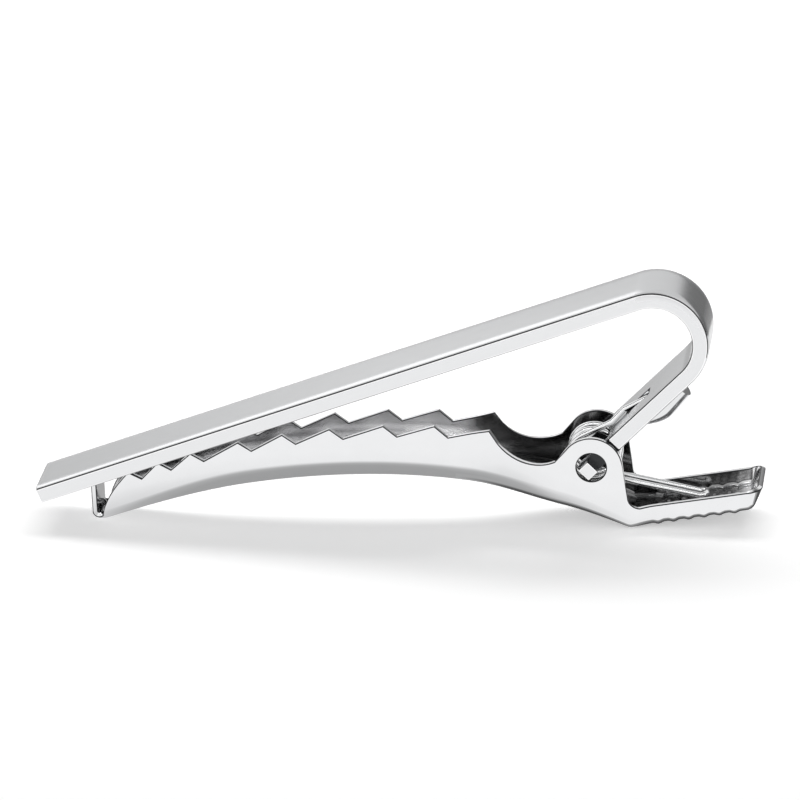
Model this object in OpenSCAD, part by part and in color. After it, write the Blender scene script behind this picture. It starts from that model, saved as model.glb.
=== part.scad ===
// Pinch tie clip: a bent front bar, a stamped toothed jaw and the torsion spring that shuts them.
// +X runs from the free end of the bar to the thumb tail, +Z is up, and the clip is symmetric
// about Y = 0 but for its spring. It stands shut, on the toe and the heel of the jaw.

/* [Front bar] */
// Width of the strip that the bar is bent from
bar_w = 6; // [5.2:0.1:6.6]
// Thickness of the strip
bar_t = 1.38; // [1:0.02:1.6]
// Length of the straight face, from its free end to the hairpin
bar_len = 52.8; // [50:0.1:60]
// Slope of the face above the surface that the clip stands on
bar_angle = 18.8; // [17.5:0.1:20]
// Inside radius of the hairpin
loop_r = 3.18; // [2.8:0.02:3.6]
// Length of the leg, from the pivot to the hairpin
leg_len = 11.1; // [10.8:0.1:13]
// Slope of the leg
leg_angle = 44; // [42:0.5:46]
// Bevel along the strip's long edges
bar_bevel = 0.12; // [0.05:0.01:0.2]

/* [Fork and pegs] */
// Thickness of each prong, across the clip
prong_t = 0.8; // [0.6:0.05:0.9]
// Size of a square peg along the leg
peg_l = 1.1; // [0.8:0.05:1.2]
// Size of a square peg through the leg
peg_h = 1.2; // [0.8:0.05:1.3]
// How far the pegs sit past the middle of their holes
peg_shift = 0.35; // [0.1:0.05:0.4]
// How far a peg stands out of its ear
peg_proud = 0.25; // [0.1:0.05:0.5]

/* [Spring pocket] */
// Width of the window
window_w = 1.3; // [1.1:0.1:1.6]
// Width of the scooped tongue behind the window
tongue_w = 2.4; // [2.2:0.1:2.8]
// Thickness of the tongue
tongue_t = 0.4; // [0.3:0.05:0.5]
// Distance from the pivot to the tongue's root
tongue_root = 4.2; // [4:0.1:4.6]
// Length of the tongue
tongue_len = 5.15; // [4.6:0.05:5.8]
// How far the tongue stands out of the leg
tongue_rise = 1.42; // [1.1:0.02:1.6]
// Distance from the pivot to the window's upper end
window_end = 7.1; // [6.9:0.1:7.6]

/* [Jaw] */
// Thickness of the sheet
sheet_t = 0.45; // [0.35:0.05:0.55]
// Height of the pivot above the surface
pivot_h = 5.57; // [5.3:0.01:5.9]
// Distance from the pivot to the front lip
nose_reach = 41.7; // [40:0.1:43]
// Width of the nose
nose_w = 3.8; // [3.4:0.1:4.2]
// Width of the toothed trough where it starts to flare
waist_w = 4.1; // [3.8:0.1:4.6]
// Rounding under the nose
toe_r = 0.9; // [0.7:0.05:1.2]
// Rounding along the trough's lower edges
edge_r = 1.1; // [0.8:0.05:1.2]
// Height of the underside at its crown
crown_h = 4.28; // [4:0.02:4.6]
// Distance from the pivot to the crown
crown_back = 17.9; // [16:0.1:20]

/* [Teeth] */
// Distance from the front lip to the first tooth
tooth_set = 3.2; // [2.8:0.1:4]
// Distance from the pivot to the last tooth
last_tooth = 8.4; // [8:0.1:9]
// Height of the tooth line at its highest
tooth_line_h = 8.65; // [8.3:0.05:9]
// Distance from the pivot to the highest place of the tooth line
tooth_line_back = 14.9; // [13:0.1:17]
// Depth of a tooth
tooth_depth = 0.95; // [0.7:0.05:1.1]
// Run of a tooth's steep side
tooth_drop = 1.1; // [0.8:0.05:1.3]

/* [Ears] */
// Radius of an ear
ear_r = 2.55; // [2.4:0.05:2.6]
// Radius of an ear's hole
hole_r = 1.22; // [1.2:0.01:1.5]
// How far an ear's outer face stands out past the bar's side
ear_stand = 0.35; // [0.3:0.01:0.4]
// Height of the bottom of the notch in front of the ears
notch_h = 5.73; // [5.5:0.01:6.1]
// Distance from the pivot to the bottom of the notch
notch_back = 4.55; // [4.3:0.05:4.8]
// Radius of the notch
notch_r = 4; // [3.7:0.1:4.3]
// Rounding where an ear runs down to the tail
ear_fillet = 1.2; // [0.9:0.05:1.4]

/* [Thumb tail] */
// Distance from the pivot to the heel
heel_ahead = 3.1; // [2.9:0.05:3.4]
// Rounding under the heel
heel_r = 1.2; // [0.9:0.05:1.5]
// Length of the tail beyond the heel
tail_len = 9.6; // [9.2:0.1:11]
// Slope of the tail
tail_angle = 8.7; // [7:0.1:10]
// Width of the tail
tail_w = 5.8; // [5.4:0.1:6.2]
// Height of the tail's side walls
tail_wall = 1.75; // [1.5:0.05:2]
// Lean of the end wall
end_lean = 24; // [15:1:30]

/* [Spring] */
// Diameter of the wire
wire_d = 0.5; // [0.4:0.02:0.5]
// Mean radius of the coil
coil_r = 2.05; // [1.95:0.01:2.1]
// Distance from turn to turn
coil_pitch = 1.08; // [1.05:0.01:1.1]
// Place across the clip where the coil begins
coil_start = -0.95; // [-1.05:0.05:-0.85]
// Distance from the heel to the spring's folded foot
foot_ahead = 5.4; // [5:0.1:6.5]

/* [Clearances] */
// Between the ears and the fork, on each side
side_gap = 0.1; // [0.05:0.01:0.15]
// Between the ears' rims and the leg's shoulders
rim_gap = 0.1; // [0.08:0.01:0.2]
// Between the shut jaw and the bar
nip_gap = 0.1; // [0.06:0.01:0.15]
// Between the spring and what it bears on
wire_gap = 0.05; // [0.03:0.01:0.1]

/* [Hidden] */
round_fn = 96;
cut_over = 0.5;
fuse_in = 0.3;
arc_steps = 4;
bend_steps = 48;
fine_step = 0.01;
edge_step = 0.1;

// Front bar
loop_mid_r = loop_r + bar_t / 2;
loop_x = leg_len * cos(leg_angle) - loop_mid_r * sin(leg_angle);
loop_z = leg_len * sin(leg_angle) + loop_mid_r * cos(leg_angle);
shoulder = ear_r + rim_gap;
ear_out = bar_w / 2 + ear_stand;
prong_out = ear_out - sheet_t - side_gap;
peg_reach = side_gap + sheet_t + peg_proud;
// The bar's underside at a distance x from the pivot, above the surface
function bar_under(x) = pivot_h + loop_z + loop_r / cos(bar_angle) + (x - loop_x) * tan(bar_angle);

// Jaw outline, with x from the pivot and z from the surface
toe_x = -nose_reach + toe_r;
first_tooth = nose_reach - tooth_set;
crown_x = -crown_back;
tail_end = heel_ahead + tail_len;
toe_slope = atan(2 * crown_h / (crown_x - toe_x));
heel_slope = atan(2 * crown_h / (heel_ahead - crown_x));
arch_front = toe_x + toe_r * sin(toe_slope);
arch_back = heel_ahead - heel_r * sin(heel_slope);
tail_front = heel_ahead + heel_r * sin(tail_angle);
function rounding(r, run) = r - sqrt(r * r - run * run);
function arch(x, end_x, end_z) = crown_h - (crown_h - end_z) * pow((x - crown_x) / (end_x - crown_x), 2);
function tail_under(x) = rounding(heel_r, heel_r * sin(tail_angle)) + (x - tail_front) * tan(tail_angle);
function under(x) =
    x < arch_front ? rounding(toe_r, x - toe_x) :
    x < crown_x ? arch(x, arch_front, rounding(toe_r, arch_front - toe_x)) :
    x < arch_back ? arch(x, arch_back, rounding(heel_r, heel_ahead - arch_back)) :
    x < tail_front ? rounding(heel_r, x - heel_ahead) :
    tail_under(x);
function floor_t(x) = sheet_t * norm([fine_step, under(x + fine_step) - under(x)]) / fine_step;

// Half the jaw's width at x
flare_front = -last_tooth - 2 * tooth_drop;
flare_back = -ear_r - edge_step;
tail_waist = ear_r + edge_step;
tail_square = tail_waist + 2 * ear_fillet;
function share(x, a, b) = min(1, max(0, (x - a) / (b - a)));
function ease(u) = u * u * (3 - 2 * u);
function mix(a, b, u) = a + (b - a) * u;
function half_w(x) =
    x < flare_front ? mix(nose_w / 2, waist_w / 2, share(x, toe_x, flare_front)) :
    x < tail_waist ? mix(waist_w / 2, ear_out, ease(share(x, flare_front, flare_back))) :
    mix(ear_out, tail_w / 2, ease(share(x, tail_waist, tail_square)));

// Tooth tips as shares of the toothed length, closer together at the nose
tooth_shares = [0, 0.083, 0.175, 0.308, 0.431, 0.562, 0.71, 0.85, 1];
tip_first = bar_under(-first_tooth) - nip_gap;
function tooth_line(x) =
    tooth_line_h - (tooth_line_h - tip_first)
    * pow((x + tooth_line_back) / (first_tooth - tooth_line_back), 2);
function tip_x(i) = mix(-first_tooth, -last_tooth, tooth_shares[i]);

// The wall's upper edge, as [x, z] from nose to tail
lead_shares = [0, 0.04, 0.14, 0.32, 0.56, 0.8];
lead_power = 0.6;
wall_lead = [for (u = lead_shares)
    let (x = mix(toe_x, -first_tooth, u), low = sheet_t + edge_step)
    [x, mix(low, tip_first, pow(u, lead_power))]];
wall_teeth = [for (i = [0:len(tooth_shares) - 1], k = [0, 1])
    if (k == 0 || i < len(tooth_shares) - 1)
    let (x = tip_x(i) + k * tooth_drop)
    [x, tooth_line(x) - k * tooth_depth]];
notch_half = 0.8 * notch_r;
notch_steps = 7;
wall_notch = [for (k = [0:notch_steps])
    let (x = mix(-notch_half, notch_half / 2, k / notch_steps))
    [x - notch_back, notch_h + rounding(notch_r, x)]];
ear_first = 140;
ear_steps = 11;
wall_ear = [for (k = [0:ear_steps])
    let (a = ear_first * (1 - k / ear_steps))
    [ear_r * cos(a), pivot_h + ear_r * sin(a)]];
fillet_x = ear_r + edge_step + ear_fillet;
fillet_z = tail_under(fillet_x) + tail_wall + ear_fillet;
fillet_steps = 6;
wall_fillet = [for (k = [0:fillet_steps])
    let (a = k * (90 - tail_angle) / fillet_steps)
    [fillet_x - ear_fillet * cos(a), fillet_z - ear_fillet * sin(a)]];
wall_tail = [for (x = [mix(fillet_x, tail_end, 0.5), tail_end]) [x, tail_under(x) + tail_wall]];
wall_edge = concat(wall_lead, wall_teeth, wall_notch, wall_ear, wall_fillet, wall_tail);

// The whole clip is centred over its origin
bar_tip_x = loop_x - bar_len * cos(bar_angle) - (loop_r + bar_t) * sin(bar_angle);
jaw_tip_x = tail_end + sheet_t + tail_wall * sin(end_lean);
pivot_x = -(bar_tip_x + jaw_tip_x) / 2;

// Half of a U section, from its middle to the top of its wall: [across, up]
function half_u(w, h, r, lift) = concat(
    [[0, lift], [w - r, lift]],
    [for (k = [1:arc_steps])
        let (a = 90 * k / arc_steps)
        [w - r + r * sin(a), lift + r - r * cos(a)]],
    [[w, h]]);
plate_dish = 0.03;
function half_flat(w, h) = [for (k = [0:arc_steps + 2])
    let (u = k / (arc_steps + 3))
    [w * u, h - plate_dish * (1 - u * u)]];
function both_sides(half) = concat(
    [for (k = [len(half) - 1:-1:1]) [-half[k][0], half[k][1]]],
    half);
function turned(list) = [for (k = [len(list) - 1:-1:0]) list[k]];

// A station is [x, z] under the sheet, the way up, and the section across
function trough_station(x, top) =
    let (h = top - under(x), t = floor_t(x), w = half_w(x),
        r = min(edge_r, 0.8 * h), ri = min(max(r - sheet_t, edge_step), 0.8 * (h - t)))
    [[x, under(x)], [0, 1],
        concat(both_sides(half_u(w, h, r, 0)), turned(both_sides(half_u(w - sheet_t, h, ri, t))))];
function plate_station(p, up, w, t, r) =
    [p, up, concat(both_sides(half_u(w, t, r, 0)), turned(both_sides(half_flat(w, t))))];

lip_h = bar_under(-nose_reach) - nip_gap;
lip_r = sheet_t / 2;
toe_steps = 6;
lip_stations = concat(
    [plate_station([-nose_reach, lip_h], [1, 0], nose_w / 2, sheet_t, lip_r)],
    [for (k = [0:toe_steps - 1])
        let (a = 180 + 90 * k / toe_steps)
        plate_station([toe_x + toe_r * cos(a), toe_r + toe_r * sin(a)], [-cos(a), -sin(a)],
            nose_w / 2, sheet_t, lip_r)]);
trough_stations = [for (p = wall_edge) trough_station(p[0], p[1])];
end_up = [sin(end_lean), cos(end_lean)];
end_turns = 4;
end_stations = [for (k = [0:end_turns])
    let (a = 90 * k / end_turns, x = tail_end + max(sheet_t * sin(a), fine_step))
    plate_station([x, tail_under(x)], end_up, tail_w / 2 - sheet_t * (1 - cos(a)), tail_wall, edge_r)];
jaw_stations = concat(lip_stations, trough_stations, end_stations);

// Spring path, in the leg's frame turned to the clip: [along, 0, up] from the pivot
function leg_point(s, n) = [s * cos(leg_angle) - n * sin(leg_angle), s * sin(leg_angle) + n * cos(leg_angle)];
wire_r = wire_d / 2;
wire_tip = leg_point(window_end - wire_d, bar_t / 4);
wire_lie = bar_t / 2 + wire_r + wire_gap;
wire_dip = leg_point(tongue_root + wire_r, wire_lie);
wire_rise = leg_point(shoulder + wire_d, wire_lie);
foot_x = heel_ahead + foot_ahead;
foot = [foot_x, tail_under(foot_x) + sheet_t / cos(tail_angle) + wire_r + wire_gap - pivot_h];
function bearing(p) = atan2(p[1], p[0]);
in_angle = bearing(wire_rise) + acos(coil_r / norm(wire_rise));
out_angle = bearing(foot) - acos(coil_r / norm(foot)) + 360;
coil_turns = 2 + (out_angle - in_angle) / 360;
curl_rings = 8;
coil_rings = ceil(coil_turns * curl_rings);
coil_end = coil_start + coil_turns * coil_pitch;
foot_r = coil_pitch / 2;
function unit(v) = v / norm(v);
function flat3(p, y) = [p[0], y, p[1]];

// A ring of the tube is [centre, along, side]
function ring(p, along) = [p, unit(along), unit(cross([0, 1, 0], along))];
in_dir = flat3(-wire_rise + coil_r * [cos(in_angle), sin(in_angle)], 0);
out_dir = flat3(foot - coil_r * [cos(out_angle), sin(out_angle)], 0);
tip_dir = flat3(wire_dip - wire_tip, 0);
lie_dir = flat3(wire_rise - wire_dip, 0);
rings_in = [
    ring(flat3(wire_tip, 0), tip_dir),
    ring(flat3(wire_dip, 0), unit(tip_dir) + unit(lie_dir)),
    ring(flat3(wire_rise, coil_start / 2), unit(lie_dir) + unit(in_dir))];
rings_coil = [for (k = [0:coil_rings])
    let (u = k / coil_rings, a = mix(in_angle, in_angle + 360 * coil_turns, u))
    ring([coil_r * cos(a), mix(coil_start, coil_end, u), coil_r * sin(a)],
        [-sin(a), 0, cos(a)] + [0, coil_pitch / (2 * PI * coil_r), 0])];
foot_steps = 6;
foot_dir = [cos(tail_angle), 0, sin(tail_angle)];
foot_side = cross([0, 1, 0], foot_dir);
rings_foot = [for (k = [0:foot_steps])
    let (a = 180 * k / foot_steps)
    [flat3(foot, coil_end) + foot_r * (sin(a) * foot_dir - (1 - cos(a)) * [0, 1, 0]),
        cos(a) * foot_dir - sin(a) * [0, 1, 0], foot_side]];
return_end = flat3(foot, coil_end - coil_pitch) - (norm(out_dir) - coil_r) * unit(out_dir);
rings_back = [[return_end, -unit(out_dir), unit(cross([0, 1, 0], out_dir))]];
spring_rings = concat(rings_in, rings_coil, rings_foot, rings_back);

// Least gap from the wire to itself, on points four to a ring's step, past its own bends
gap_points = [for (i = [0:len(spring_rings) - 2], k = [0:3])
    mix(spring_rings[i][0], spring_rings[i + 1][0], k / 4)];
gap_runs = [for (i = 0, run = 0; i < len(gap_points);
    run = run + (i + 1 < len(gap_points) ? norm(gap_points[i + 1] - gap_points[i]) : 0), i = i + 1) run];
least_gap = min([for (i = [0:len(gap_points) - 1], j = [i:len(gap_points) - 1])
    if (gap_runs[j] - gap_runs[i] > 3 * wire_d)
    norm(gap_points[i] - gap_points[j])]) - wire_d;
echo(str("Least gap from the spring to itself, mm: ", least_gap));

// Closed solid through rings of points that all have the same count
module loft(rings, caps) {
    n = len(rings[0]);
    last = (len(rings) - 1) * n;
    sides = [for (i = [0:len(rings) - 2], k = [0:n - 1])
        let (a = i * n + k, b = i * n + (k + 1) % n)
        each [[a, a + n, b], [b, a + n, b + n]]];
    back = [for (f = caps) [last + f[2], last + f[1], last + f[0]]];
    polyhedron([for (r = rings) each r], concat(sides, caps, back), convexity = 10);
}

// Caps for rings that run out along one edge of a band and back along the other, m points each way
function band_caps(m) = [for (k = [0:m - 2])
    each [[k, k + 1, 2 * m - 1 - k], [k + 1, 2 * m - 2 - k, 2 * m - 1 - k]]];

// One bevelled section, as [out of the hairpin, across], serves the leg, the hairpin and the face
bar_section = let (x = bar_t / 2, y = bar_w / 2, b = bar_bevel)
    [[x - b, -y], [x, b - y], [x, y - b], [x - b, y], [b - x, y], [-x, y - b], [-x, b - y], [b - x, -y]];

// The section's ring where the strip's outer side faces the angle a, after a straight run
function strip_ring(a, run) = [for (q = bar_section)
    [loop_x + (loop_mid_r + q[0]) * cos(a) - run * sin(a), q[1],
        loop_z + (loop_mid_r + q[0]) * sin(a) + run * cos(a)]];

module bent_strip() {
    first = leg_angle - 90;
    last = bar_angle + 90;
    turns = [for (k = [0:bend_steps]) strip_ring(mix(first, last, k / bend_steps), 0)];
    caps = [for (k = [1:len(bar_section) - 2]) [0, k, k + 1]];
    loft(concat([strip_ring(first, shoulder - leg_len)], turns, [strip_ring(last, bar_len)]), caps);
}

// The tongue's outer line stands out by this much at a share u of its length
tongue_bow_share = 0.52;
tongue_fall_share = 0.1;
function tongue_out(u) = tongue_rise * (u < tongue_bow_share
    ? 1 - pow(1 - u / tongue_bow_share, 2)
    : 1 - tongue_fall_share * (u - tongue_bow_share) / (1 - tongue_bow_share));
tongue_steps = 16;

scoop_steps = 8;

// A scooped section across the tongue: its outer arc, then its inner arc back
function scoop(s, out, in) = concat(
    [for (k = [scoop_steps:-1:0])
        let (a = 180 * k / scoop_steps)
        [s, tongue_w / 2 * cos(a), fuse_in - bar_t / 2 - (out + fuse_in) * sin(a)]],
    [for (k = [0:scoop_steps])
        let (a = 180 * k / scoop_steps)
        [s, (tongue_w / 2 - tongue_t) * cos(a), fuse_in - bar_t / 2 - (in + fuse_in) * sin(a)]]);

module tongue() {
    loft([for (k = [0:tongue_steps])
        let (u = k / tongue_steps, out = tongue_out(u))
        scoop(tongue_root + u * tongue_len, out, max(out - tongue_t, edge_step - fuse_in))],
        band_caps(scoop_steps + 1));
}

module window() {
    start = tongue_root + fuse_in;
    translate([start, -window_w / 2, -bar_t / 2 - cut_over])
        cube([window_end - start, window_w, bar_t + 2 * cut_over]);
}

module fork() {
    back = peg_l / 2 + peg_shift;
    for (side = [-1, 1]) {
        translate([-back, side * (prong_out - prong_t / 2) - prong_t / 2, -bar_t / 2])
            cube([back + shoulder + bar_bevel, prong_t, bar_t]);
        translate([-back, side * (prong_out + peg_reach / 2) - peg_reach / 2, -peg_h / 2])
            cube([peg_l, peg_reach, peg_h]);
    }
}

module front_bar() {
    color("lightgray")
        translate([pivot_x, 0, pivot_h]) {
            difference() {
                bent_strip();
                rotate([0, -leg_angle, 0])
                    window();
            }
            rotate([0, -leg_angle, 0]) {
                tongue();
                fork();
            }
        }
}

// The jaw is lofted in three lengths, from station first to station last
module jaw_shell(first, last) {
    rings = [for (i = [first:last])
        let (s = jaw_stations[i])
        [for (q = s[2]) [s[0][0] + q[1] * s[1][0], q[0], s[0][1] + q[1] * s[1][1]]]];
    loft(rings, band_caps(len(rings[0]) / 2));
}

module clip_jaw() {
    front = len(lip_stations) + len(wall_lead) + len(wall_teeth) + len(wall_notch) - 1;
    back = front + len(wall_ear) + 1;
    color("silver")
        translate([pivot_x, 0, 0]) {
            jaw_shell(0, front);
            difference() {
                jaw_shell(front, back);
                translate([0, 0, pivot_h])
                    rotate([90, 0, 0])
                        cylinder(r = hole_r, h = 2 * ear_out + 2 * cut_over, center = true, $fn = round_fn);
            }
            jaw_shell(back, len(jaw_stations) - 1);
        }
}

module torsion_spring() {
    wire_sides = 6;
    rings = [for (r = spring_rings)
        let (side = r[2], up = cross(r[1], r[2]))
        [for (k = [0:wire_sides - 1])
            let (a = 360 * k / wire_sides)
            r[0] + wire_r * (cos(a) * side + sin(a) * up)]];
    color("gainsboro")
        translate([pivot_x, 0, pivot_h])
            loft(rings, [for (k = [1:wire_sides - 2]) [0, k, k + 1]]);
}

front_bar();
clip_jaw();
torsion_spring();
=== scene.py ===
"""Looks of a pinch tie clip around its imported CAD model: a satin bar, a chromed jaw and a spring."""

import math

import bpy
from mathutils import Matrix, Vector


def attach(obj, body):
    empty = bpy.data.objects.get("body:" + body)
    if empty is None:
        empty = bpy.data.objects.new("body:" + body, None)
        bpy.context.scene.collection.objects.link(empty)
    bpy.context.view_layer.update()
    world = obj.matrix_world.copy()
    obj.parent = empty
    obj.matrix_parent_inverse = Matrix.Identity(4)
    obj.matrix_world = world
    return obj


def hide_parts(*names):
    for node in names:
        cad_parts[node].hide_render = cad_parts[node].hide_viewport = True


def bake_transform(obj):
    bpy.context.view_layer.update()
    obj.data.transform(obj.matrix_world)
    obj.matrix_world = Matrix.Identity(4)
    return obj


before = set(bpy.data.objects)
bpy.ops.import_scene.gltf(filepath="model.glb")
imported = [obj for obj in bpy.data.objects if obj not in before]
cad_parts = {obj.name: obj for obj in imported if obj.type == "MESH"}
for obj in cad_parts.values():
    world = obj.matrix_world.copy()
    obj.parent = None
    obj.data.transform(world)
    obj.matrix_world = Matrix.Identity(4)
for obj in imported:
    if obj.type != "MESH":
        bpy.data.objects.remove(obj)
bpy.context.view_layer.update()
bpy.ops.object.select_all(action="DESELECT")


# Front bar
# One strip of stainless steel, 6 mm wide, bent into the long face, the round hairpin and the leg.
# Its broad sides are satin, their edges are eased by the wheel, and its narrow sides are polished.
mm = 0.001
weld = 0.001
pivot_height = 5.57
pivot = Vector((16.1472, 0, pivot_height)) * mm
leg_angle = math.radians(44)
face_angle = math.radians(18.8)
strip_half = 0.69 * mm
strip_side = 3 * mm
leg_length = 11.1 * mm
leg_foot = 2.65 * mm
hairpin_radius = 3.87 * mm
hairpin_steps = 72
face_length = 52.8 * mm
edge_round = 0.15 * mm
crown_drop = 0.1 * mm
crown_start = 2 * mm
crown_steps = 12


def crown(across):
    """How far the strip's outer side falls away at this place across."""
    run = max(0, abs(across) - crown_start) / (strip_side - crown_start)
    return crown_drop * run ** 2


def edge_arc(x, y, toward_x, toward_y):
    """Four points round one long edge of the strip."""
    turn = [math.radians(30 * k) for k in range(4)]
    return [(x + toward_x * edge_round * math.cos(a), y + toward_y * edge_round * math.sin(a)) for a in turn]


crown_places = [k * strip_side / crown_steps for k in range(1 - crown_steps, crown_steps)]
edge_x = strip_half - crown_drop - edge_round
edge_y = strip_side - edge_round
outline = [(strip_half - crown(y), y) for y in crown_places]
outline += edge_arc(edge_x, edge_y, 1, 1)
outline += reversed(edge_arc(edge_round - strip_half, edge_y, -1, 1))
outline += edge_arc(edge_round - strip_half, -edge_y, -1, -1)
outline += reversed(edge_arc(edge_x, -edge_y, 1, -1))
bpy.ops.mesh.primitive_circle_add(vertices=len(outline), fill_type="NGON")
bar = bpy.context.object
bar.name = "bent_bar"
for vertex, (x, y) in zip(bar.data.vertices, outline):
    vertex.co = (x, y, leg_foot)
bpy.ops.object.mode_set(mode="EDIT")
bpy.ops.mesh.select_all(action="SELECT")
bpy.ops.mesh.extrude_region_move(TRANSFORM_OT_translate={"value": (0, 0, leg_length - leg_foot)})
bend = math.pi - leg_angle + face_angle
bpy.ops.mesh.spin(steps=hairpin_steps, angle=bend, center=(-hairpin_radius, 0, leg_length), axis=(0, 1, 0))
along_face = Vector((-math.sin(bend), 0, math.cos(bend))) * face_length
bpy.ops.mesh.extrude_region_move(TRANSFORM_OT_translate={"value": along_face})
bpy.ops.mesh.select_all(action="SELECT")
bpy.ops.mesh.remove_doubles(threshold=weld * mm)
bpy.ops.mesh.normals_make_consistent(inside=False)
bpy.ops.object.mode_set(mode="OBJECT")


def hold(*pieces):
    """Only these pieces are selected, and the last of them is the active one."""
    bpy.ops.object.select_all(action="DESELECT")
    for piece in pieces:
        piece.select_set(True)
    bpy.context.view_layer.objects.active = pieces[-1]


def apply_modifiers(piece):
    """Every modifier on a piece becomes part of its mesh."""
    hold(piece)
    for modifier in list(piece.modifiers):
        bpy.ops.object.modifier_apply(modifier=modifier.name)


def cut(piece, cutter, operation):
    """A cutter is used on a piece once and then taken away."""
    tool = piece.modifiers.new("cut", "BOOLEAN")
    tool.object = cutter
    tool.operation = operation
    tool.solver = "EXACT"
    apply_modifiers(piece)
    bpy.data.objects.remove(cutter)


def place(piece, matrix):
    """A piece made about its own origin goes to its place, with the place in its mesh."""
    piece.data.transform(matrix)
    piece.data.update()


window_low = 4.5 * mm
window_high = 7.1 * mm
window_width = 1.3 * mm
window_cut = 3 * mm
bpy.ops.mesh.primitive_cube_add(size=1, location=(0, 0, (window_low + window_high) / 2),
                                scale=(window_cut, window_width, window_high - window_low))
cut(bar, bpy.context.object, "DIFFERENCE")


# Spring pocket
# A boss is pressed out of the leg behind the window and is sheared off square at its upper end.
# The end of the spring hooks into the window and lies inside it.
tongue_foot = 4.5 * mm
tongue_length = 4.85 * mm
tongue_rise = 1.4 * mm
tongue_half = 1.2 * mm
tongue_sink = 0.3 * mm
bow_share = 0.52
end_fall_share = 0.17


def tongue_out(share):
    """How far the tongue stands out of the leg at a share of its length."""
    if share < bow_share:
        return tongue_rise * (1 - (1 - share / bow_share) ** 2)
    return tongue_rise * (1 - end_fall_share * (share - bow_share) / (1 - bow_share))


tongue_rows = 32
tongue_columns = 24
bpy.ops.mesh.primitive_grid_add(x_subdivisions=tongue_rows + 2, y_subdivisions=tongue_columns, size=1)
tongue = bpy.context.object
tongue.name = "pocket_tongue"
for vertex in tongue.data.vertices:
    row = round((vertex.co.x + 0.5) * (tongue_rows + 2)) - 1
    share = min(1, max(0, row / tongue_rows))
    a = math.pi * (vertex.co.y + 0.5)
    reach = tongue_sink + tongue_out(share) if 0 <= row <= tongue_rows else 0
    vertex.co = (strip_half - tongue_sink + reach * math.sin(a), -tongue_half * math.cos(a),
                 tongue_foot + tongue_length * share)
bpy.ops.object.mode_set(mode="EDIT")
bpy.ops.mesh.select_all(action="SELECT")
bpy.ops.mesh.remove_doubles(threshold=weld / 2 * mm)
bpy.ops.mesh.select_all(action="DESELECT")
bpy.ops.mesh.select_non_manifold()
bpy.ops.mesh.edge_face_add()
bpy.ops.mesh.select_all(action="SELECT")
bpy.ops.mesh.normals_make_consistent(inside=False)
bpy.ops.object.mode_set(mode="OBJECT")


# Fork and pegs
# The leg ends in two prongs that go between the jaw's ears. A square peg stands out of each prong
# and turns in the ear's round hole, so the clip needs no pin.
prong_out = 2.8 * mm
prong_sheet = 0.8 * mm
peg_reach = 0.8 * mm
peg_low = -0.9 * mm
peg_high = 0.2 * mm
peg_through = 1.2 * mm
peg_root = 0.1 * mm
prong_overlap = 0.12 * mm
prong_top = leg_foot + prong_overlap
fork_ease = 0.1 * mm
window_ease = 0.06 * mm
fork = []
for side in (-1, 1):
    bpy.ops.mesh.primitive_cube_add(
        size=1, location=(0, side * (prong_out - prong_sheet / 2), (peg_low + prong_top) / 2),
        scale=(2 * strip_half, prong_sheet, prong_top - peg_low))
    fork.append(bpy.context.object)
    bpy.ops.mesh.primitive_cube_add(
        size=1, location=(0, side * (prong_out + (peg_reach - peg_root) / 2), (peg_low + peg_high) / 2),
        scale=(peg_through, peg_reach + peg_root, peg_high - peg_low))
    fork.append(bpy.context.object)


rim_slot = 1
edge_slot = 2
inner_slot = 3
smooth_limit = math.radians(40)


def open_slots(piece):
    """The piece gets its four material slots: body, rim, eased edges and inside."""
    while len(piece.data.materials) <= inner_slot:
        piece.data.materials.append(None)


def ease_edges(piece, width, limit=50):
    """Sharp edges are rounded, and the broad faces keep their own shading.

    Without a limit, only the edges round the faces in the rim's slot are rounded.
    """
    open_slots(piece)
    hold(piece)
    bpy.ops.object.transform_apply(location=True, rotation=True, scale=True)
    rounding = piece.modifiers.new("rounding", "BEVEL")
    rounding.width = width
    rounding.segments = 2
    if limit:
        rounding.limit_method = "ANGLE"
        rounding.angle_limit = math.radians(limit)
    else:
        rounding.limit_method = "WEIGHT"
        weights = piece.data.attributes.new("bevel_weight_edge", "FLOAT", "EDGE")
        beside = {}
        for face in piece.data.polygons:
            for key in face.edge_keys:
                beside.setdefault(key, set()).add(face.material_index == rim_slot)
        for edge in piece.data.edges:
            weights.data[edge.index].value = len(beside[edge.key]) - 1
    rounding.use_clamp_overlap = False
    # The rounded faces take the edge slot, which holds the shaded metal: a painted dark reflection along
    # every eased edge
    rounding.material = edge_slot
    apply_modifiers(piece)
    bpy.ops.object.shade_smooth_by_angle(angle=smooth_limit)
    shading = piece.modifiers.new("shading", "WEIGHTED_NORMAL")
    shading.keep_sharp = True
    apply_modifiers(piece)


def dress(piece, materials):
    """The materials take the piece's slots in order."""
    for number, material in enumerate(materials):
        piece.data.materials[number] = material


grain_height = 0.01 * mm


def fill_ramp(ramp, stops):
    """A colour ramp takes its stops, as (position, value), in order."""
    while len(ramp.color_ramp.elements) < len(stops):
        ramp.color_ramp.elements.new(0.5)
    for element, (position, value) in zip(ramp.color_ramp.elements, stops):
        element.position = position
        element.color = (value, value, value, 1)


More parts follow.
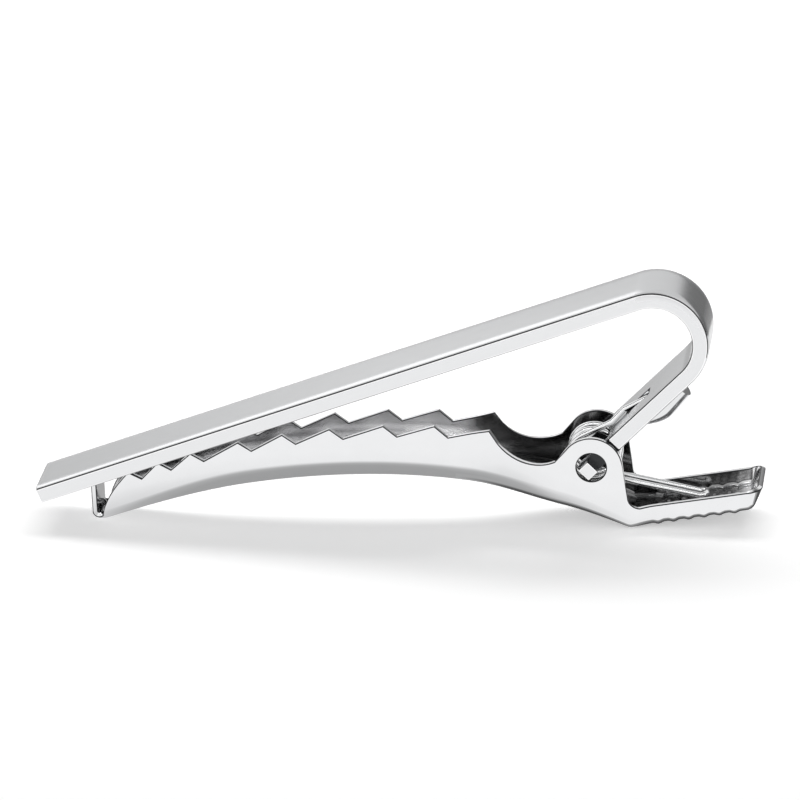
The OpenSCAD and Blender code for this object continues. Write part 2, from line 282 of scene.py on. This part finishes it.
def metal(name, colour, roughness, grain_scale, grain_depth, haze, shades=()):
    """A bare metal: its colour and gloss wander a little, along a grain that is stretched by grain_scale.

    Shades are places along X and the share of the colour that is left there, as painted shade.
    """
    made = bpy.data.materials.new(name)
    made.use_nodes = True
    nodes = made.node_tree.nodes
    links = made.node_tree.links
    shader = nodes["Principled BSDF"]
    shader.inputs["Metallic"].default_value = 1
    where = nodes.new("ShaderNodeTexCoord")
    stretch = nodes.new("ShaderNodeMapping")
    stretch.inputs["Scale"].default_value = grain_scale
    links.new(where.outputs["Object"], stretch.inputs["Vector"])
    grain = nodes.new("ShaderNodeTexNoise")
    grain.inputs["Scale"].default_value = 1
    grain.inputs["Detail"].default_value = 4
    links.new(stretch.outputs["Vector"], grain.inputs["Vector"])
    tone = nodes.new("ShaderNodeMapRange")
    tone.inputs["To Min"].default_value = 1 - haze
    tone.inputs["To Max"].default_value = 1
    links.new(grain.outputs["Fac"], tone.inputs["Value"])
    tint = nodes.new("ShaderNodeMix")
    tint.data_type = "RGBA"
    tint.blend_type = "MULTIPLY"
    tint.inputs["Factor"].default_value = 1
    tint.inputs["A"].default_value = (*colour, 1)
    links.new(tone.outputs["Result"], tint.inputs["B"])
    colour_out = tint.outputs["Result"]
    if shades:
        first, last = shades[0][0], shades[-1][0]
        split = nodes.new("ShaderNodeSeparateXYZ")
        links.new(where.outputs["Object"], split.inputs["Vector"])
        reach = nodes.new("ShaderNodeMapRange")
        reach.inputs["From Min"].default_value = first
        reach.inputs["From Max"].default_value = last
        links.new(split.outputs["X"], reach.inputs["Value"])
        left = nodes.new("ShaderNodeValToRGB")
        left.color_ramp.interpolation = "EASE"
        fill_ramp(left, [((x - first) / (last - first), share) for x, share in shades])
        links.new(reach.outputs["Result"], left.inputs["Fac"])
        painted_shade_mix = nodes.new("ShaderNodeMix")
        painted_shade_mix.data_type = "RGBA"
        painted_shade_mix.blend_type = "MULTIPLY"
        painted_shade_mix.inputs["Factor"].default_value = 1
        links.new(colour_out, painted_shade_mix.inputs["A"])
        links.new(left.outputs["Color"], painted_shade_mix.inputs["B"])
        colour_out = painted_shade_mix.outputs["Result"]
    links.new(colour_out, shader.inputs["Base Color"])
    gloss = nodes.new("ShaderNodeMapRange")
    gloss.inputs["To Min"].default_value = roughness * 0.8
    gloss.inputs["To Max"].default_value = roughness * 1.2
    links.new(grain.outputs["Fac"], gloss.inputs["Value"])
    links.new(gloss.outputs["Result"], shader.inputs["Roughness"])
    if grain_depth:
        relief = nodes.new("ShaderNodeBump")
        relief.inputs["Strength"].default_value = grain_depth
        relief.inputs["Distance"].default_value = grain_height
        links.new(grain.outputs["Fac"], relief.inputs["Height"])
        links.new(relief.outputs["Normal"], shader.inputs["Normal"])
    return made


satin_steel = metal("satin_steel", (0.66, 0.665, 0.675), 0.18, (900, 6000, 900), 0.12, 0.08)
polished_side = metal("polished_side", (0.83, 0.835, 0.845), 0.12, (1500, 1500, 1500), 0, 0.03)
# The bright metal is a painted highlight along the bar's long edges; the shaded metal stands for painted dark
# reflections along eased edges and painted shade between close surfaces
painted_highlight_edge = metal("painted_highlight_edge", (0.97, 0.97, 0.975), 0.1, (2000, 2000, 2000), 0, 0.02)
shaded_edge = metal("shaded_edge", (0.05, 0.051, 0.053), 0.3, (2000, 2000, 2000), 0, 0.2)
bar_metals = (satin_steel, polished_side, shaded_edge, satin_steel)
sideways = 0.99
for piece in fork:
    ease_edges(piece, fork_ease)
    # The prongs' flat sides take the shaded metal as painted shade beside the ears, and the pegs' ends are
    # polished
    for face in piece.data.polygons:
        if abs(face.normal.y) > sideways:
            on_prong = abs(face.center.y) < prong_out + fork_ease
            face.material_index = edge_slot if on_prong else rim_slot
    dress(piece, bar_metals)
hold(tongue)
bpy.ops.object.shade_smooth_by_angle(angle=smooth_limit)
open_slots(tongue)
# The tongue's end faces take the shaded metal as painted shade, and its curved faces are polished
for face in tongue.data.polygons:
    face.material_index = edge_slot if len(face.vertices) > 4 else rim_slot
dress(tongue, bar_metals)
ease_edges(bar, window_ease)
dress(bar, bar_metals)
hold(*fork, tongue, bar)
bpy.ops.object.join()
place(bar, Matrix.Translation(pivot) @ Matrix.Rotation(math.pi / 2 - leg_angle, 4, "Y"))
painted_highlight_slot = len(bar.data.materials)
bar.data.materials.append(painted_highlight_edge)
edge_turn = 0.15
bright_turn = 0.85
under_turn = -0.17
# Along the bar's long edges, the rounded faces that face nearly sideways take the painted highlight, those
# above them take the shaded metal as painted dark reflection, and those below stay polished
for face in bar.data.polygons:
    turned = abs(face.normal.y)
    if turned > sideways:
        if face.material_index != edge_slot:
            face.material_index = rim_slot
    elif turned > edge_turn and abs(face.center.y) > strip_side - edge_round:
        if turned > bright_turn:
            face.material_index = painted_highlight_slot
        else:
            face.material_index = edge_slot if face.normal.z > under_turn else rim_slot
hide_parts("front_bar")
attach(bar, "bar")


# Clip jaw
# One stamping of 0.45 mm sheet, drawn into a trough that arches from the toe to the heel and flares
# at the ears. The thumb tail is dimpled for grip, and the whole jaw is chromed after forming.
sheet = 0.45
toe_end = -41.7
toe_round = 0.9
toe = toe_end + toe_round
crown_back = -17.9
crown_height = 3.8
heel = 3.1
heel_round = 1.2
tail_slope = math.radians(8.7)
tail_face = 13.02
tail_high = 1.75
lead_round = 1
trough_round = 1.8
tail_round = 0.9
nose_half = 1.9
waist_half = 2.05
ear_half = 3.35
tail_half = 2.9
ear_round = 2.55
hole_round = 1.22
tooth_run = 1.1
last_tooth = -8.4
first_tooth = -38.5
lead_run = 12
flare_margin = 0.1
fillet_end = ear_round + 2.5
jaw_ease = 0.08


def rounding_drop(radius, run):
    """How far a round of this radius has fallen away at this run from its lowest place."""
    return radius - math.sqrt(radius ** 2 - run ** 2)


def underside(x):
    """Height of the jaw's underside, in mm above the table, at x mm from the pivot."""
    toe_turn = math.atan(2 * crown_height / (crown_back - toe))
    heel_turn = math.atan(2 * crown_height / (heel - crown_back))
    arch_front = toe + toe_round * math.sin(toe_turn)
    arch_back = heel - heel_round * math.sin(heel_turn)
    tail_front = heel + heel_round * math.sin(tail_slope)
    if x < arch_front:
        return rounding_drop(toe_round, x - toe)
    if x < crown_back:
        low = rounding_drop(toe_round, arch_front - toe)
        return crown_height - (crown_height - low) * ((x - crown_back) / (arch_front - crown_back)) ** 2
    if x < arch_back:
        low = rounding_drop(heel_round, heel - arch_back)
        return crown_height - (crown_height - low) * ((x - crown_back) / (arch_back - crown_back)) ** 2
    if x < tail_front:
        return rounding_drop(heel_round, x - heel)
    return rounding_drop(heel_round, tail_front - heel) + (x - tail_front) * math.tan(tail_slope)


def ease(x, start, end):
    """A smooth step from 0 at start to 1 at end."""
    share = min(1, max(0, (x - start) / (end - start)))
    return share * share * (3 - 2 * share)


def half_width(x):
    """Half the jaw's width at x."""
    flare = last_tooth - 2 * tooth_run
    if x < flare:
        return nose_half + (waist_half - nose_half) * (x - toe) / (flare - toe)
    if x < ear_round + flare_margin:
        return waist_half + (ear_half - waist_half) * ease(x, flare, -ear_round - flare_margin)
    return ear_half + (tail_half - ear_half) * ease(x, ear_round + flare_margin, fillet_end)


def draw_round(x):
    """Outer radius between the floor and the walls at x."""
    opening = (trough_round - lead_round) * ease(x, toe, toe + lead_run)
    return lead_round + opening - (trough_round - tail_round) * ease(x, -ear_round, fillet_end)


dimple_pitch = 1.25
dimple_across = 1.17
dimple_reach = 0.56
dimple_depth = 0.24
dimple_first = 5.3
dimple_rows = 11
dimples = []
for row in range(dimple_rows):
    for column in ((-1, 0, 1) if row % 2 else (-1.5, -0.5, 0.5, 1.5)):
        dimples.append((dimple_first + dimple_pitch * row / 2, dimple_across * column))


def dimple(x, y):
    """Depth that the nearest punch has pressed the tail's floor down."""
    away = min(math.hypot(x - cx, y - cy) for cx, cy in dimples)
    return dimple_depth * (0.5 + 0.5 * math.cos(math.pi * away / dimple_reach)) if away < dimple_reach else 0


# The walls' trimmed edge, as (x, height): the lead, nine saw teeth, the notch, the ears and the tail's rim
tooth_shares = [0, 0.083, 0.175, 0.308, 0.431, 0.562, 0.71, 0.85, 1]
tooth_top = 8.65
tooth_top_x = -14.9
first_height = 4.4035
tooth_depth = 0.95
lead_height = sheet + 0.1


def tooth_line(x):
    """Height of the line through the tips of the teeth."""
    return tooth_top - (tooth_top - first_height) * ((x - tooth_top_x) / (first_tooth - tooth_top_x)) ** 2


lead_shares = (0, 0.02, 0.05, 0.1, 0.18, 0.3, 0.45, 0.62, 0.8)
lead_power = 0.6
trim = []
for share in lead_shares:
    rise = (first_height - lead_height) * share ** lead_power
    trim.append((toe + (first_tooth - toe) * share, lead_height + rise))
for number, share in enumerate(tooth_shares):
    x = first_tooth + (last_tooth - first_tooth) * share
    trim.append((x, tooth_line(x)))
    if number < len(tooth_shares) - 1:
        trim.append((x + tooth_run, tooth_line(x + tooth_run) - tooth_depth))
notch_round = 4
notch_middle = -4.55
notch_low = 5.73
notch_start_share = -0.8
notch_run_share = 1.2
notch_steps = 12
for step in range(notch_steps + 1):
    run = notch_round * (notch_start_share + notch_run_share * step / notch_steps)
    trim.append((notch_middle + run, notch_low + rounding_drop(notch_round, run)))
ear_start = math.radians(140)
ear_lean = math.radians(8)
ear_steps = 28
for step in range(ear_steps + 1):
    a = ear_start + (ear_lean - ear_start) * step / ear_steps
    trim.append((ear_round * math.cos(a), pivot_height + ear_round * math.sin(a)))
ear_fillet = 1.2
ear_clear = 0.3
fillet_steps = 12
end_lean = math.radians(24)
tail_tip = 13.86
rim_end = underside(tail_face) + (tail_tip - tail_face) / math.tan(end_lean)
fillet_x = ear_round + ear_clear + ear_fillet
fillet_z = underside(fillet_x) + tail_high + ear_fillet
for step in range(fillet_steps + 1):
    a = ear_lean + (math.pi / 2 - tail_slope - ear_lean) * step / fillet_steps
    trim.append((fillet_x - ear_fillet * math.cos(a), fillet_z - ear_fillet * math.sin(a)))
rim_start = trim[-1]
rim_slope = (rim_end - rim_start[1]) / (tail_tip - rim_start[0])
trim.append((tail_tip, rim_end))


def wall_top(x):
    """Height of the trimmed edge at x."""
    for (x0, z0), (x1, z1) in zip(trim, trim[1:]):
        if x <= x1:
            return z0 + (z1 - z0) * (x - x0) / (x1 - x0)
    return rim_end


# The blank is a floor with a skirt drawn up all round: along the near wall, round the tail's end and back
# along the far wall. At the toe both turn up together into the lip.
lip_top = 3.32
toe_turns = 12
draw_steps = 9
floor_steps = 36
corner_steps = 10
end_run = tail_round * (math.cos(end_lean) - math.sin(tail_slope))
end_rise = tail_round * (math.cos(tail_slope) - math.sin(end_lean))
end_back = (end_run - end_rise * math.tan(end_lean)) / (1 - math.tan(tail_slope) * math.tan(end_lean))
floor_end = tail_face - end_back
tail_start = 4.1
body_steps = 100
tail_steps = 72
least_step = 0.08
places = [x for x, z in trim if x < floor_end]
regular = [toe + (tail_start - toe) * k / body_steps for k in range(body_steps)]
regular += [tail_start + (floor_end - tail_start) * k / tail_steps for k in range(tail_steps)]
places += [x for x in regular if min(abs(x - corner) for corner, z in trim) > least_step]
places = sorted(places) + [floor_end]
lip = [(1, lip_top), (1, (lip_top + toe_round) / 2)] + [(1 - k / toe_turns, None) for k in range(toe_turns)]
stations = [("lip", *spot) for spot in lip] + [("wall", x, None) for x in places]
lead_turn = math.acos(1 - lead_height / lead_round)
wall_turn = 1.1


def floor_half(station):
    """Half the width of the floor between its rounds."""
    kind, place_at, height = station
    if kind == "wall":
        return half_width(place_at) - draw_round(place_at)
    edge = half_width(toe) - lead_round * (1 - math.sin(lead_turn)) * (1 - place_at)
    return edge - lead_round * math.sin(lead_turn * (1 - place_at))


def floor_frame(station):
    """The middle of the floor's underside at a station, and the way up into the sheet."""
    kind, place_at, height = station
    if kind == "wall":
        return Vector((place_at, 0, underside(place_at))), Vector((0, 0, 1))
    a = math.pi / 2 * place_at
    if height is not None:
        return Vector((toe_end, 0, height)), Vector((1, 0, 0))
    return (Vector((toe - toe_round * math.sin(a), 0, toe_round * (1 - math.cos(a)))),
            Vector((math.sin(a), 0, math.cos(a))))


def floor_point(station, share):
    """A point of the floor, at a share of the way from near to far."""
    middle, up = floor_frame(station)
    y = floor_half(station) * (2 * share - 1)
    low = dimple(station[1], y) if station[0] == "wall" else 0
    return middle + Vector((0, y, 0)) - up * low


def skirt_point(station, share, turn, step):
    """A point of the skirt: up the round from the floor's edge, and then up the wall to the trimmed edge.

    The wall faces sideways at turn 0 and 180 degrees, and along the tail at 90.
    """
    root = floor_point(station, share)
    up = floor_frame(station)[1]
    along = math.sin(turn)
    start = math.atan(math.tan(tail_slope) * along)
    stop = math.pi / 2 - end_lean * along
    bend = lead_round if station[0] == "lip" else draw_round(station[1])
    if station[0] == "lip":
        stop = lead_turn * (1 - station[1])
    elif wall_top(station[1]) < root.z + bend:
        stop = math.acos(1 - (wall_top(station[1]) - root.z) / bend)
    a = start + (stop - start) * min(step, draw_steps) / draw_steps
    out = bend * (math.sin(a) - math.sin(start))
    rise = bend * (math.cos(start) - math.cos(a))
    point = root + Vector((out * along, -out * math.cos(turn), 0)) + up * rise
    if step > draw_steps and station[0] == "wall" and stop > wall_turn:
        missing = wall_top(root.x) + rim_slope * (point.x - root.x) - point.z
        reach = missing / (math.sin(stop) - rim_slope * math.cos(stop) * along)
        rising = Vector((math.cos(stop) * along, -math.cos(stop) * math.cos(turn), math.sin(stop)))
        point += max(0, reach) * rising
    return point


floor_rows = len(stations) - 1
end = stations[-1]
rim = [(station, 0, 0) for station in stations[:-1]]
rim += [(end, 0, math.pi / 2 * k / corner_steps) for k in range(corner_steps)]
rim += [(end, k / floor_steps, math.pi / 2) for k in range(floor_steps + 1)]
rim += [(end, 1, math.pi / 2 * (1 + (k + 1) / corner_steps)) for k in range(corner_steps)]
rim += [(station, 1, math.pi) for station in reversed(stations[:-1])]
bpy.ops.mesh.primitive_grid_add(x_subdivisions=floor_rows, y_subdivisions=floor_steps, size=1)
jaw = bpy.context.object
jaw.name = "stamped_jaw"
for vertex in jaw.data.vertices:
    vertex.co = floor_point(stations[round((vertex.co.x + 0.5) * floor_rows)], vertex.co.y + 0.5)
bpy.ops.mesh.primitive_grid_add(x_subdivisions=len(rim) - 1, y_subdivisions=draw_steps + 1, size=1)
skirt = bpy.context.object
for vertex in skirt.data.vertices:
    station, share, turn = rim[round((vertex.co.x + 0.5) * (len(rim) - 1))]
    vertex.co = skirt_point(station, share, turn, round((vertex.co.y + 0.5) * (draw_steps + 1)))
hold(skirt, jaw)
bpy.ops.object.join()
bpy.ops.object.mode_set(mode="EDIT")
bpy.ops.mesh.select_all(action="SELECT")
bpy.ops.mesh.remove_doubles(threshold=weld)
bpy.ops.mesh.normals_make_consistent(inside=False)
bpy.ops.object.mode_set(mode="OBJECT")
lowest = min(jaw.data.polygons, key=lambda face: abs(face.center.x) + abs(face.center.y))
if lowest.normal.z > 0:
    jaw.data.flip_normals()
open_slots(jaw)
thicken = jaw.modifiers.new("sheet", "SOLIDIFY")
thicken.thickness = sheet
thicken.offset = -1
thicken.use_even_offset = True
thicken.use_quality_normals = True
thicken.material_offset = inner_slot
thicken.material_offset_rim = rim_slot
apply_modifiers(jaw)

# The ears' flat plates are merged into a few large faces before their holes are pierced
plate_turn = 0.9999
plate_limit = math.radians(0.2)
bpy.ops.object.mode_set(mode="EDIT")
bpy.ops.mesh.select_mode(type="FACE")
bpy.ops.mesh.select_all(action="DESELECT")
bpy.ops.object.mode_set(mode="OBJECT")
for face in jaw.data.polygons:
    inside_ear = max(abs(jaw.data.vertices[k].co.x) for k in face.vertices) < ear_round
    face.select = inside_ear and abs(face.normal.y) > plate_turn and face.center.z > trough_round
bpy.ops.object.mode_set(mode="EDIT")
bpy.ops.mesh.dissolve_limited(angle_limit=plate_limit)
bpy.ops.object.mode_set(mode="OBJECT")
hole_facets = 72
hole_cut = 10
hole_fit = 0.003
bpy.ops.mesh.primitive_cylinder_add(vertices=hole_facets, radius=hole_round, depth=hole_cut,
                                    location=(0, 0, pivot_height), rotation=(math.pi / 2, 0, 0))
cut(jaw, bpy.context.object, "DIFFERENCE")
for face in jaw.data.polygons:
    corners = [jaw.data.vertices[k].co for k in face.vertices]
    if all(abs(math.hypot(c.x, c.z - pivot_height) - hole_round) < hole_fit for c in corners):
        face.material_index = rim_slot
ease_edges(jaw, jaw_ease, None)
place(jaw, Matrix.Translation((pivot.x, 0, 0)) @ Matrix.Scale(mm, 4))
chrome = metal("chrome", (0.87, 0.875, 0.885), 0.05, (700, 700, 700), 0, 0.04)
# Along X in metres: painted shade inside the jaw, as shares of the colour, full at the teeth and darkest
# behind the notch. The inside's colour is lighter than the outer chrome, as painted reflection
inside_painted_shades = ((-0.026, 0.75), (-0.015, 1), (0.003, 1), (0.0125, 0.3), (0.018, 0.25), (0.0215, 0.26),
                 (0.0268, 0.28), (0.029, 0.9))
chrome_inside_painted = metal("chrome_inside_painted", (0.95, 0.95, 0.955), 0.13, (1200, 1200, 1200), 0, 0.08, inside_painted_shades)
# The jaw's inside takes painted light and shade, and its rounded edges take the shaded metal as painted dark
# reflection
dress(jaw, (chrome, chrome, shaded_edge, chrome_inside_painted))
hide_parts("clip_jaw")
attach(jaw, "jaw")


# Torsion spring
# One hard drawn wire, wound on the axis of the pegs: its upper leg hooks into the window, and its lower
# leg is folded beside itself and presses on the floor of the tail.
wire_round = 0.25
wire_gap = 0.05
wire_lie = strip_half / mm + wire_round + wire_gap
coil_round = 2.05
coil_pitch = 1.08
coil_start = -0.95
turn_steps = 48
fold_steps = 16
dip_along = 4.45
foot_ahead = 5.4


def on_leg(along, out):
    """A point in the leg's frame, as (x, z) from the pivot."""
    return Vector((along * math.cos(leg_angle) - out * math.sin(leg_angle),
                   along * math.sin(leg_angle) + out * math.cos(leg_angle)))


def bearing(point):
    """The angle of a point round the pivot."""
    return math.atan2(point.y, point.x)


wire_tip = on_leg(window_high / mm - 2 * wire_round, strip_half / mm / 2)
wire_dip = on_leg(dip_along, wire_lie)
wire_rise = on_leg(leg_foot / mm + 2 * wire_round, wire_lie)
foot_x = heel + foot_ahead
foot_height = underside(foot_x) + sheet / math.cos(tail_slope) + wire_round + wire_gap
foot = Vector((foot_x, foot_height - pivot_height))
turn_in = bearing(wire_rise) + math.acos(coil_round / wire_rise.length)
turn_out = bearing(foot) - math.acos(coil_round / foot.length) + 2 * math.pi
turns = 2 + (turn_out - turn_in) / (2 * math.pi)
coil_end = coil_start + turns * coil_pitch
path = [Vector((wire_tip.x, 0, wire_tip.y)), Vector((wire_dip.x, 0, wire_dip.y)),
        Vector((wire_rise.x, coil_start / 2, wire_rise.y))]
coil_steps = math.ceil(turns * turn_steps)
for step in range(coil_steps + 1):
    a = turn_in + 2 * math.pi * turns * step / coil_steps
    path.append(Vector((coil_round * math.cos(a), coil_start + turns * coil_pitch * step / coil_steps,
                        coil_round * math.sin(a))))
leaving = Vector((foot.x - coil_round * math.cos(turn_out), 0, foot.y - coil_round * math.sin(turn_out)))
foot_3d = Vector((foot.x, coil_end, foot.y))
along_tail = Vector((math.cos(tail_slope), 0, math.sin(tail_slope)))
for step in range(fold_steps + 1):
    a = math.pi * step / fold_steps
    path.append(foot_3d + coil_pitch / 2 * (math.sin(a) * along_tail - (1 - math.cos(a)) * Vector((0, 1, 0))))
path.append(Vector((foot.x, coil_end - coil_pitch, foot.y))
            - (leaving.length - coil_round) * leaving.normalized())
bpy.ops.curve.primitive_nurbs_path_add()
wire = bpy.context.object
wire.name = "spring_wire"
wire.data.splines.clear()
run = wire.data.splines.new("POLY")
run.points.add(len(path) - 1)
for point, where in zip(run.points, path):
    point.co = (*where, 1)
wire.data.bevel_depth = wire_round
wire.data.bevel_resolution = 3
wire.data.use_fill_caps = True
wire.data.twist_mode = "MINIMUM"
hold(wire)
bpy.ops.object.convert(target="MESH")
wire = bpy.context.object
bpy.ops.object.shade_smooth_by_angle(angle=smooth_limit)

# The wire's faces between its turns, and below its legs, take the shaded metal as painted shade
coil_reach = 1.2 * wire_round
least_outward = 0.4
least_upward = -0.2
for face in wire.data.polygons:
    away = math.hypot(face.center.x, face.center.z)
    if abs(away - coil_round) < coil_reach:
        outward = (face.normal.x * face.center.x + face.normal.z * face.center.z) / away
        shaded = outward < least_outward
    else:
        shaded = face.normal.z < least_upward
    face.material_index = int(shaded)
place(wire, Matrix.Translation(pivot) @ Matrix.Scale(mm, 4))
spring_steel = metal("spring_steel", (0.88, 0.885, 0.89), 0.06, (2500, 2500, 2500), 0, 0.06)
wire.data.materials.clear()
wire.data.materials.append(spring_steel)
wire.data.materials.append(shaded_edge)
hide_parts("torsion_spring")
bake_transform(wire)


# Floor
# A white table that runs out to the white surround and keeps the clip's soft shadow.
bpy.ops.mesh.primitive_plane_add(size=4)
floor = bpy.context.object
floor.name = "white_table"
white_table = bpy.data.materials.new("white_table")
white_table.use_nodes = True
nodes = white_table.node_tree.nodes
links = white_table.node_tree.links
shader = nodes["Principled BSDF"]
shader.inputs["Base Color"].default_value = (0.9, 0.9, 0.9, 1)
shader.inputs["Roughness"].default_value = 0.9
shader.inputs["Specular IOR Level"].default_value = 0
shader.inputs["Emission Color"].default_value = (1, 1, 1, 1)


def seen_directly(nodes, links):
    """1 for camera, glossy and transmission rays, and 0 for the rays that light things."""
    ray = nodes.new("ShaderNodeLightPath")
    first = nodes.new("ShaderNodeMath")
    first.operation = "MAXIMUM"
    links.new(ray.outputs["Is Camera Ray"], first.inputs[0])
    links.new(ray.outputs["Is Glossy Ray"], first.inputs[1])
    second = nodes.new("ShaderNodeMath")
    second.operation = "MAXIMUM"
    links.new(first.outputs["Value"], second.inputs[0])
    links.new(ray.outputs["Is Transmission Ray"], second.inputs[1])
    return second.outputs["Value"]


table_lift = 0.44
lift = nodes.new("ShaderNodeMath")
lift.operation = "MULTIPLY"
lift.inputs[1].default_value = table_lift
links.new(seen_directly(nodes, links), lift.inputs[0])
links.new(lift.outputs["Value"], shader.inputs["Emission Strength"])
floor.data.materials.append(white_table)


# Surround, lamp and cards
# Metal and camera see a plain white room. A broad soft lamp above and behind throws the shadow forward,
# and dark and bright cards, which only the metal reflects, stand in for a studio round the clip.
world = bpy.context.scene.world or bpy.data.worlds.new("white_room")
bpy.context.scene.world = world
world.use_nodes = True
nodes = world.node_tree.nodes
links = world.node_tree.links
room = nodes["Background"]
room.inputs["Color"].default_value = (1, 1, 1, 1)
level = nodes.new("ShaderNodeMapRange")
level.inputs["To Min"].default_value = 0.26
level.inputs["To Max"].default_value = 1
links.new(seen_directly(nodes, links), level.inputs["Value"])
links.new(level.outputs["Result"], room.inputs["Strength"])

lamp_data = bpy.data.lights.new("soft_top", "AREA")
lamp_data.shape = "RECTANGLE"
lamp_data.size = 0.5
lamp_data.size_y = 0.12
lamp_data.energy = 0.95
lamp = bpy.data.objects.new("soft_top", lamp_data)
bpy.context.scene.collection.objects.link(lamp)
lamp.location = (0, 0.2, 0.3)
lamp.rotation_euler = (math.radians(-34), 0, 0)
lamp.visible_glossy = False


def card(name, size, location, rotation, axis, stops):
    """A flat studio card that only the metal sees. Its value runs through the stops along its own X or Y,
    or out from its middle."""
    bpy.ops.mesh.primitive_plane_add(size=1, location=location, rotation=rotation)
    made = bpy.context.object
    made.name = name
    made.scale = (*size, 1)
    surface = bpy.data.materials.new(name)
    surface.use_nodes = True
    nodes = surface.node_tree.nodes
    links = surface.node_tree.links
    nodes.clear()
    where = nodes.new("ShaderNodeTexCoord")
    measure = nodes.new("ShaderNodeVectorMath" if axis == "OUT" else "ShaderNodeSeparateXYZ")
    if axis == "OUT":
        measure.operation = "LENGTH"
    links.new(where.outputs["Object"], measure.inputs[0])
    place_on = nodes.new("ShaderNodeMapRange")
    place_on.inputs["From Min"].default_value = 0 if axis == "OUT" else -0.5
    place_on.inputs["From Max"].default_value = 0.5
    links.new(measure.outputs["Value" if axis == "OUT" else axis], place_on.inputs["Value"])
    ramp = nodes.new("ShaderNodeValToRGB")
    fill_ramp(ramp, stops)
    links.new(place_on.outputs["Result"], ramp.inputs["Fac"])
    glow = nodes.new("ShaderNodeEmission")
    links.new(ramp.outputs["Color"], glow.inputs["Color"])
    end = nodes.new("ShaderNodeOutputMaterial")
    links.new(glow.outputs["Emission"], end.inputs["Surface"])
    made.data.materials.append(surface)
    made.visible_camera = False
    made.visible_diffuse = False
    made.visible_shadow = False
    made.visible_transmission = False


card("overhead_flag", (0.9, 0.9), (0, 0, 0.25), (0, 0, 0), "OUT",
     ((0, 0.04), (0.18, 0.12), (0.4, 0.85), (1, 1)))
card("back_sweep", (0.5, 0.064), (0.05, 0.16, 0.032), (math.pi / 2, 0, 0), "X",
     ((0.12, 0.5), (0.22, 0.73), (0.29, 0.84), (0.34, 0.68), (0.45, 0.62), (0.56, 0.2)))
card("back_strip", (0.5, 0.08), (0.05, 0.17, 0.104), (math.pi / 2, 0, 0), "X",
     ((0, 1.6), (0.3, 1.6), (0.36, 0.9), (1, 0.62)))
card("front_strip", (0.4, 0.016), (0, -0.12, 0.22), (0.5, 0, 0), "X", ((0, 5), (1, 5)))
card("table_sweep", (0.5, 0.11), (0.05, 0.105, 0.00003), (0, 0, 0), "X",
     ((0.12, 0.5), (0.34, 0.55), (0.43, 0.5), (0.56, 0.15)))
card("table_shade", (0.195, 0.13), (-0.005, 0.0045, 0.00002), (0, 0, 0), "OUT",
     ((0, 0.36), (0.16, 0.4), (0.2, 0.48), (0.243, 0.78), (0.29, 0.96), (0.34, 1), (1, 1)))
card("tail_shade", (0.034, 0.0064), (0.021, 0, 0.00004), (0, 0, 0), "OUT", ((0, 0.03), (0.8, 0.1), (1, 0.42)))


# Camera
# A long lens from a little to the right of the clip's side and above it, with the clip across the frame.
camera_turn = math.radians(7.713)
camera_height = math.radians(21.316)
camera_roll = math.radians(-2.663)
camera_away = 488.773 * mm
camera_aim = Vector((0.271, 0, 10.132)) * mm
looking = Vector((-math.sin(camera_turn) * math.cos(camera_height),
                  math.cos(camera_turn) * math.cos(camera_height), -math.sin(camera_height)))
level_right = Vector((math.cos(camera_turn), math.sin(camera_turn), 0))
level_up = level_right.cross(looking)
right = level_right * math.cos(camera_roll) + level_up * math.sin(camera_roll)
up = level_up * math.cos(camera_roll) - level_right * math.sin(camera_roll)
camera_data = bpy.data.cameras.new("camera")
camera_data.sensor_width = 36
camera_data.lens = 268.4
camera_data.clip_start = 0.01
camera_data.clip_end = 10
camera = bpy.data.objects.new("camera", camera_data)
bpy.context.scene.collection.objects.link(camera)
camera_turned = Matrix((right, up, -looking)).transposed().to_4x4()
camera.matrix_world = Matrix.Translation(camera_aim - looking * camera_away) @ camera_turned
bpy.context.scene.camera = camera
bpy.context.scene.view_settings.view_transform = "Standard"
